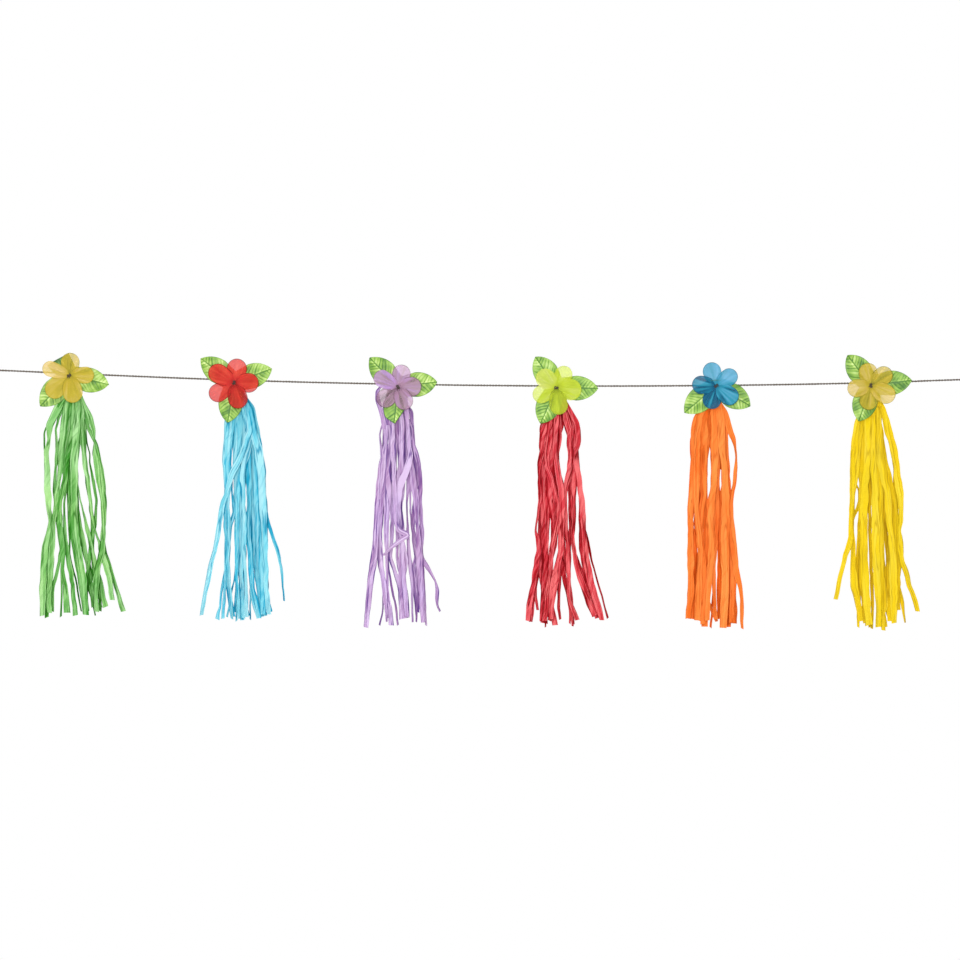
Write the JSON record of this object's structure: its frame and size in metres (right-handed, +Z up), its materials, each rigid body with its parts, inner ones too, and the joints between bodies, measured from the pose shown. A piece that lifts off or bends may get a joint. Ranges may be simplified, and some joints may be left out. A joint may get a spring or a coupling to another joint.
{
  "type": "paper tassel garland",
  "caption": "Garland of coloured paper tassels looped over a taut twine, each with a sheer fabric flower and satin leaves tied at its head, and a hanging loop at each end.",
  "frame": {"origin": "eye of the left hanging loop, where the nail or hook passes through", "axes": "+X right along the twine as seen from the front, +Y away from the front, +Z up"},
  "size_m": [1.144, 0.0388, 0.304],
  "materials": {
    "hemp_twine": "matte",
    "green_paper": "matte paper",
    "blue_paper": "matte paper",
    "lilac_paper": "matte paper",
    "red_paper": "matte paper",
    "orange_paper": "matte paper",
    "yellow_paper": "matte paper",
    "green_satin": "satin",
    "ochre_organza": "sheer organza",
    "red_organza": "sheer organza",
    "mauve_organza": "sheer organza",
    "lime_organza": "sheer organza",
    "blue_organza": "sheer organza",
    "binding_thread": "matte",
    "dark_thread": "matte"
  },
  "bodies": {
    "root": {"twine": "hemp_twine", "left_loop_knot": "hemp_twine", "right_loop_knot": "hemp_twine", "tassel_green": "green_paper", "leaves_green": "green_satin", "flower_green": "ochre_organza", "tassel_blue": "blue_paper", "leaves_blue": "green_satin", "flower_blue": "red_organza", "tassel_lilac": "lilac_paper", "leaves_lilac": "green_satin", "flower_lilac": "mauve_organza", "tassel_red": "red_paper", "leaves_red": "green_satin", "flower_red": "lime_organza", "tassel_orange": "orange_paper", "leaves_orange": "green_satin", "flower_orange": "blue_organza", "tassel_yellow": "yellow_paper", "leaves_yellow": "green_satin", "flower_yellow": "ochre_organza", "neck_bindings": "binding_thread", "centre_knots": "dark_thread"}
  },
  "joints": []
}
